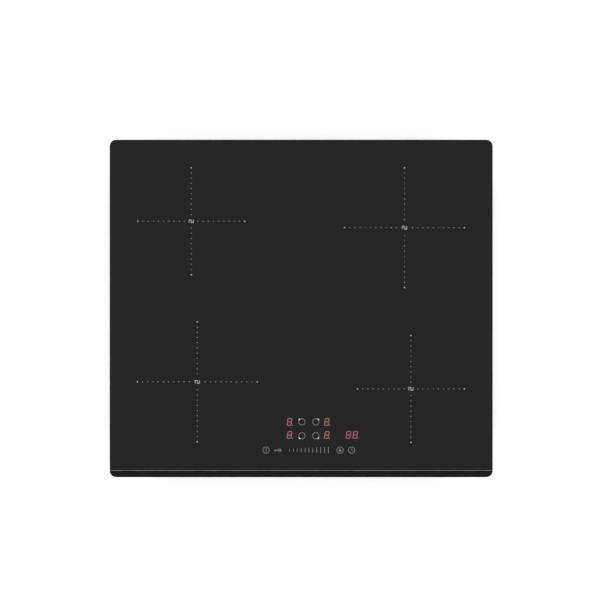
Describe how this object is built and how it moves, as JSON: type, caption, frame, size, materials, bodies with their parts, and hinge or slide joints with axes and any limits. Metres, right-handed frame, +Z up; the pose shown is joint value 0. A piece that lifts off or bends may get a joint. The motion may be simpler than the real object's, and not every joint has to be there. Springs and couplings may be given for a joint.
{
  "type": "built-in induction hob",
  "caption": "Built-in four-zone induction hob: flat black glass with a bevelled front edge and touch controls over a shallow vented steel base tray with swing-out worktop clamps.",
  "frame": {"origin": "bottom centre of the whole hob: under the middle of the glass, level with the underside of the tray's feet", "axes": "+Z up out of the cooking surface, +X to the cook's right along the width, +Y to the rear; the touch controls and the bevelled glass edge are on the -Y side"},
  "size_m": [0.59, 0.52, 0.055],
  "materials": {
    "black_glass": "polished",
    "printed_enamel": "satin",
    "display_red": "gloss",
    "silicone_black": "matte",
    "seal_foam": "matte",
    "galvanised_steel": "satin",
    "zinc_steel": "satin",
    "spring_steel": "satin",
    "aluminium_sheet": "satin",
    "black_plastic": "matte",
    "grey_plastic": "matte",
    "white_plastic": "matte",
    "copper_wire": "satin",
    "ferrite": "matte",
    "mica": "matte",
    "circuit_board": "satin",
    "component_black": "satin",
    "capacitor_film": "satin",
    "brass": "satin",
    "foam_black": "matte",
    "lead_sleeve": "matte",
    "ribbon_grey": "matte"
  },
  "bodies": {
    "hob": {"glass_top": "black_glass", "glass_bond": "silicone_black", "worktop_seal": "seal_foam", "glass_frame": "galvanised_steel", "base_tray": "galvanised_steel", "case_screws": "zinc_steel", "support_posts": "white_plastic", "coil_plate_left": "aluminium_sheet", "coil_plate_right": "aluminium_sheet", "temperature_sensors": "silicone_black", "plate_springs": "spring_steel", "power_board_left": "circuit_board", "power_board_right": "circuit_board", "filter_board": "circuit_board", "heat_sink_left": "aluminium_sheet", "heat_sink_right": "aluminium_sheet", "power_transistors": "component_black", "resonance_capacitors": "capacitor_film", "board_chokes": "copper_wire", "filter_parts": "capacitor_film", "blower_housing_left": "black_plastic", "blower_housing_right": "black_plastic", "blower_motors": "component_black", "terminal_box": "black_plastic", "terminal_posts": "brass", "terminal_lid": "black_plastic", "cable_entry": "black_plastic", "control_carrier": "grey_plastic", "control_board": "circuit_board", "display_modules": "display_red", "touch_pads": "foam_black", "internal_leads": "lead_sleeve", "ribbon_cable": "ribbon_grey", "clamp_brackets": "galvanised_steel", "coil_former_rear_left": "white_plastic", "coil_winding_rear_left": "copper_wire", "ferrite_bars_rear_left": "ferrite", "insulation_disc_rear_left": "mica", "coil_former_rear_right": "white_plastic", "coil_winding_rear_right": "copper_wire", "ferrite_bars_rear_right": "ferrite", "insulation_disc_rear_right": "mica", "coil_former_front_left": "white_plastic", "coil_winding_front_left": "copper_wire", "ferrite_bars_front_left": "ferrite", "insulation_disc_front_left": "mica", "coil_former_front_right": "white_plastic", "coil_winding_front_right": "copper_wire", "ferrite_bars_front_right": "ferrite", "insulation_disc_front_right": "mica"},
    "rotor_left": {"blower_impeller_left": "grey_plastic"},
    "rotor_right": {"blower_impeller_right": "grey_plastic"},
    "clamp_screw_rear_left": {"clamp_screw_rear_left": "zinc_steel"},
    "clamp_arm_rear_left": {"clamp_arm_rear_left": "zinc_steel"},
    "clamp_screw_rear_right": {"clamp_screw_rear_right": "zinc_steel"},
    "clamp_arm_rear_right": {"clamp_arm_rear_right": "zinc_steel"},
    "clamp_screw_front_left": {"clamp_screw_front_left": "zinc_steel"},
    "clamp_arm_front_left": {"clamp_arm_front_left": "zinc_steel"},
    "clamp_screw_front_right": {"clamp_screw_front_right": "zinc_steel"},
    "clamp_arm_front_right": {"clamp_arm_front_right": "zinc_steel"}
  },
  "joints": [
    {"name": "blower_left_spin", "type": "hinge", "parent": "hob", "child": "rotor_left", "pos_m": [-0.129, 0.15, 0.016], "axis": [0, 0, 1], "continuous": true},
    {"name": "blower_right_spin", "type": "hinge", "parent": "hob", "child": "rotor_right", "pos_m": [0.129, 0.15, 0.016], "axis": [0, 0, 1], "continuous": true},
    {"name": "clamp_rear_left_lift", "type": "slide", "parent": "hob", "child": "clamp_screw_rear_left", "axis": [0, 0, 1], "range_m": [0, 0.013]},
    {"name": "clamp_rear_left_swing", "type": "hinge", "parent": "clamp_screw_rear_left", "child": "clamp_arm_rear_left", "pos_m": [-0.266, 0.15, 0.00845], "axis": [0, 0, 1], "range_deg": [0, 90]},
    {"name": "clamp_rear_right_lift", "type": "slide", "parent": "hob", "child": "clamp_screw_rear_right", "axis": [0, 0, 1], "range_m": [0, 0.013]},
    {"name": "clamp_rear_right_swing", "type": "hinge", "parent": "clamp_screw_rear_right", "child": "clamp_arm_rear_right", "pos_m": [0.266, 0.15, 0.00845], "axis": [0, 0, -1], "range_deg": [0, 90]},
    {"name": "clamp_front_left_lift", "type": "slide", "parent": "hob", "child": "clamp_screw_front_left", "axis": [0, 0, 1], "range_m": [0, 0.013]},
    {"name": "clamp_front_left_swing", "type": "hinge", "parent": "clamp_screw_front_left", "child": "clamp_arm_front_left", "pos_m": [-0.266, -0.15, 0.00845], "axis": [0, 0, -1], "range_deg": [0, 90]},
    {"name": "clamp_front_right_lift", "type": "slide", "parent": "hob", "child": "clamp_screw_front_right", "axis": [0, 0, 1], "range_m": [0, 0.013]},
    {"name": "clamp_front_right_swing", "type": "hinge", "parent": "clamp_screw_front_right", "child": "clamp_arm_front_right", "pos_m": [0.266, -0.15, 0.00845], "axis": [0, 0, 1], "range_deg": [0, 90]}
  ]
}
